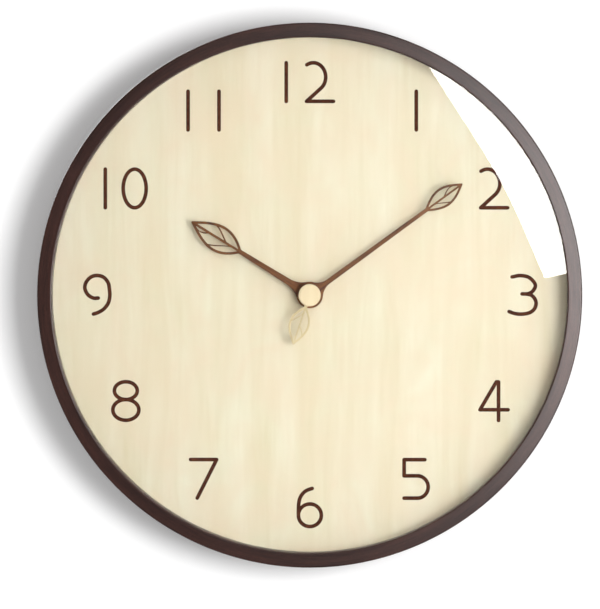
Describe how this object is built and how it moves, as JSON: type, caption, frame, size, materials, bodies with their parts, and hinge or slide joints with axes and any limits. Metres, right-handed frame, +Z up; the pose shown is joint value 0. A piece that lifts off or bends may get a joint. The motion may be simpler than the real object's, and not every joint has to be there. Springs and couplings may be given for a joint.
{
  "type": "analogue wall clock",
  "caption": "Round wall clock: dark wooden rim, flat glass, pale veneer dial, leaf-shaped hands, battery movement with gear train, keyhole hanger plate.",
  "frame": {"origin": "on the wall plane, where the hook in the wall carries the keyhole plate, straight above the dial's centre", "axes": "+Z up, +Y into the wall (the dial faces -Y), +X to the right of the dial as it is read"},
  "size_m": [0.3, 0.0466, 0.3],
  "materials": {
    "rim_stain": "dark walnut stain, satin lacquer, fine grain",
    "hand_walnut": "laser-cut walnut, bare grain, scorched edges",
    "dial_veneer": "pale basswood veneer, faint upright grain, matt",
    "glass": "clear flat float glass, polished",
    "raw_pine": "raw sawn softwood",
    "zinc_steel": "zinc plated, satin",
    "brass": "turned brass, bright",
    "black_plastic": "moulded, fine spark texture",
    "white_plastic": "moulded acetal, satin",
    "knob_plastic": "moulded, ribbed edge",
    "black_rubber": "moulded rubber, matt",
    "copper_wire": "enamelled copper wire, close wound",
    "soft_iron": "punched soft iron, grey",
    "magnet": "sintered magnet with moulded pinion",
    "green_board": "green resist over glass fibre",
    "battery_wrap": "plain printed wrap, no marks"
  },
  "bodies": {
    "clock_body": {"rim": "rim_stain", "glass": "glass", "spacer_ring": "rim_stain", "dial_board": "dial_veneer", "dial_clip_1": "zinc_steel", "dial_clip_2": "zinc_steel", "dial_clip_3": "zinc_steel", "dial_clip_4": "zinc_steel", "clip_screw_1": "zinc_steel", "clip_screw_2": "zinc_steel", "clip_screw_3": "zinc_steel", "clip_screw_4": "zinc_steel", "hanger_block": "raw_pine", "hanger_plate": "zinc_steel", "hanger_screw_1": "zinc_steel", "hanger_screw_2": "zinc_steel", "front_housing": "black_plastic", "back_cover": "black_plastic", "middle_plate": "white_plastic", "train_plate": "white_plastic", "positive_contact": "zinc_steel", "negative_contact": "zinc_steel", "coil_core": "soft_iron", "coil_bobbin": "white_plastic", "coil_winding": "copper_wire", "stator": "soft_iron", "circuit_board": "green_board", "chip_cover": "black_plastic", "quartz_crystal": "zinc_steel", "threaded_bush": "brass", "rubber_washer": "black_rubber", "nut_washer": "brass", "hex_nut": "brass"},
    "second_hand_group": {"seconds_wheel": "brass", "second_socket": "brass", "second_hand": "dial_veneer", "hand_cap": "dial_veneer"},
    "minute_hand_group": {"minute_tube": "brass", "minute_collet": "brass", "minute_hand": "hand_walnut"},
    "hour_hand_group": {"hour_wheel": "white_plastic", "hour_collet": "brass", "hour_hand": "hand_walnut"},
    "motion_wheel_body": {"motion_wheel": "white_plastic"},
    "setting_knob_body": {"setting_knob": "knob_plastic"},
    "centre_wheel_body": {"centre_wheel": "white_plastic", "clutch_spring": "zinc_steel"},
    "third_wheel_body": {"third_wheel": "white_plastic"},
    "intermediate_wheel_body": {"intermediate_wheel": "white_plastic"},
    "rotor_body": {"rotor": "magnet"},
    "battery_body": {"battery": "battery_wrap"}
  },
  "joints": [
    {"name": "second_hand_turn", "type": "hinge", "parent": "clock_body", "child": "second_hand_group", "pos_m": [0, -0.015, -0.131], "axis": [0, 1, 0], "continuous": true},
    {"name": "minute_hand_turn", "type": "hinge", "parent": "clock_body", "child": "minute_hand_group", "pos_m": [0, -0.015, -0.131], "axis": [0, 1, 0], "continuous": true},
    {"name": "hour_hand_turn", "type": "hinge", "parent": "clock_body", "child": "hour_hand_group", "pos_m": [0, -0.015, -0.131], "axis": [0, 1, 0], "continuous": true},
    {"name": "motion_wheel_turn", "type": "hinge", "parent": "clock_body", "child": "motion_wheel_body", "pos_m": [0.00831, -0.015, -0.1262], "axis": [0, 1, 0], "continuous": true},
    {"name": "setting_knob_turn", "type": "hinge", "parent": "clock_body", "child": "setting_knob_body", "pos_m": [0.01759, -0.015, -0.12372], "axis": [0, 1, 0], "continuous": true},
    {"name": "centre_wheel_turn", "type": "hinge", "parent": "clock_body", "child": "centre_wheel_body", "pos_m": [0, -0.015, -0.131], "axis": [0, 1, 0], "continuous": true},
    {"name": "third_wheel_turn", "type": "hinge", "parent": "clock_body", "child": "third_wheel_body", "pos_m": [-0.0115, -0.015, -0.12681], "axis": [0, 1, 0], "continuous": true},
    {"name": "intermediate_wheel_turn", "type": "hinge", "parent": "clock_body", "child": "intermediate_wheel_body", "pos_m": [0.00175, -0.015, -0.12107], "axis": [0, 1, 0], "continuous": true},
    {"name": "rotor_turn", "type": "hinge", "parent": "clock_body", "child": "rotor_body", "pos_m": [0.00432, -0.015, -0.11403], "axis": [0, 1, 0], "continuous": true},
    {"name": "battery_slide", "type": "slide", "parent": "clock_body", "child": "battery_body", "axis": [0, 1, 0], "range_m": [0, 0.022]}
  ],
  "couplings": [
    {"joint": "intermediate_wheel_turn", "follows": "second_hand_turn", "ratio": -6},
    {"joint": "rotor_turn", "follows": "second_hand_turn", "ratio": 30},
    {"joint": "third_wheel_turn", "follows": "second_hand_turn", "ratio": -0.13333},
    {"joint": "centre_wheel_turn", "follows": "second_hand_turn", "ratio": 0.016667},
    {"joint": "motion_wheel_turn", "follows": "minute_hand_turn", "ratio": -0.33333},
    {"joint": "hour_hand_turn", "follows": "minute_hand_turn", "ratio": 0.083333},
    {"joint": "setting_knob_turn", "follows": "minute_hand_turn", "ratio": 1}
  ]
}
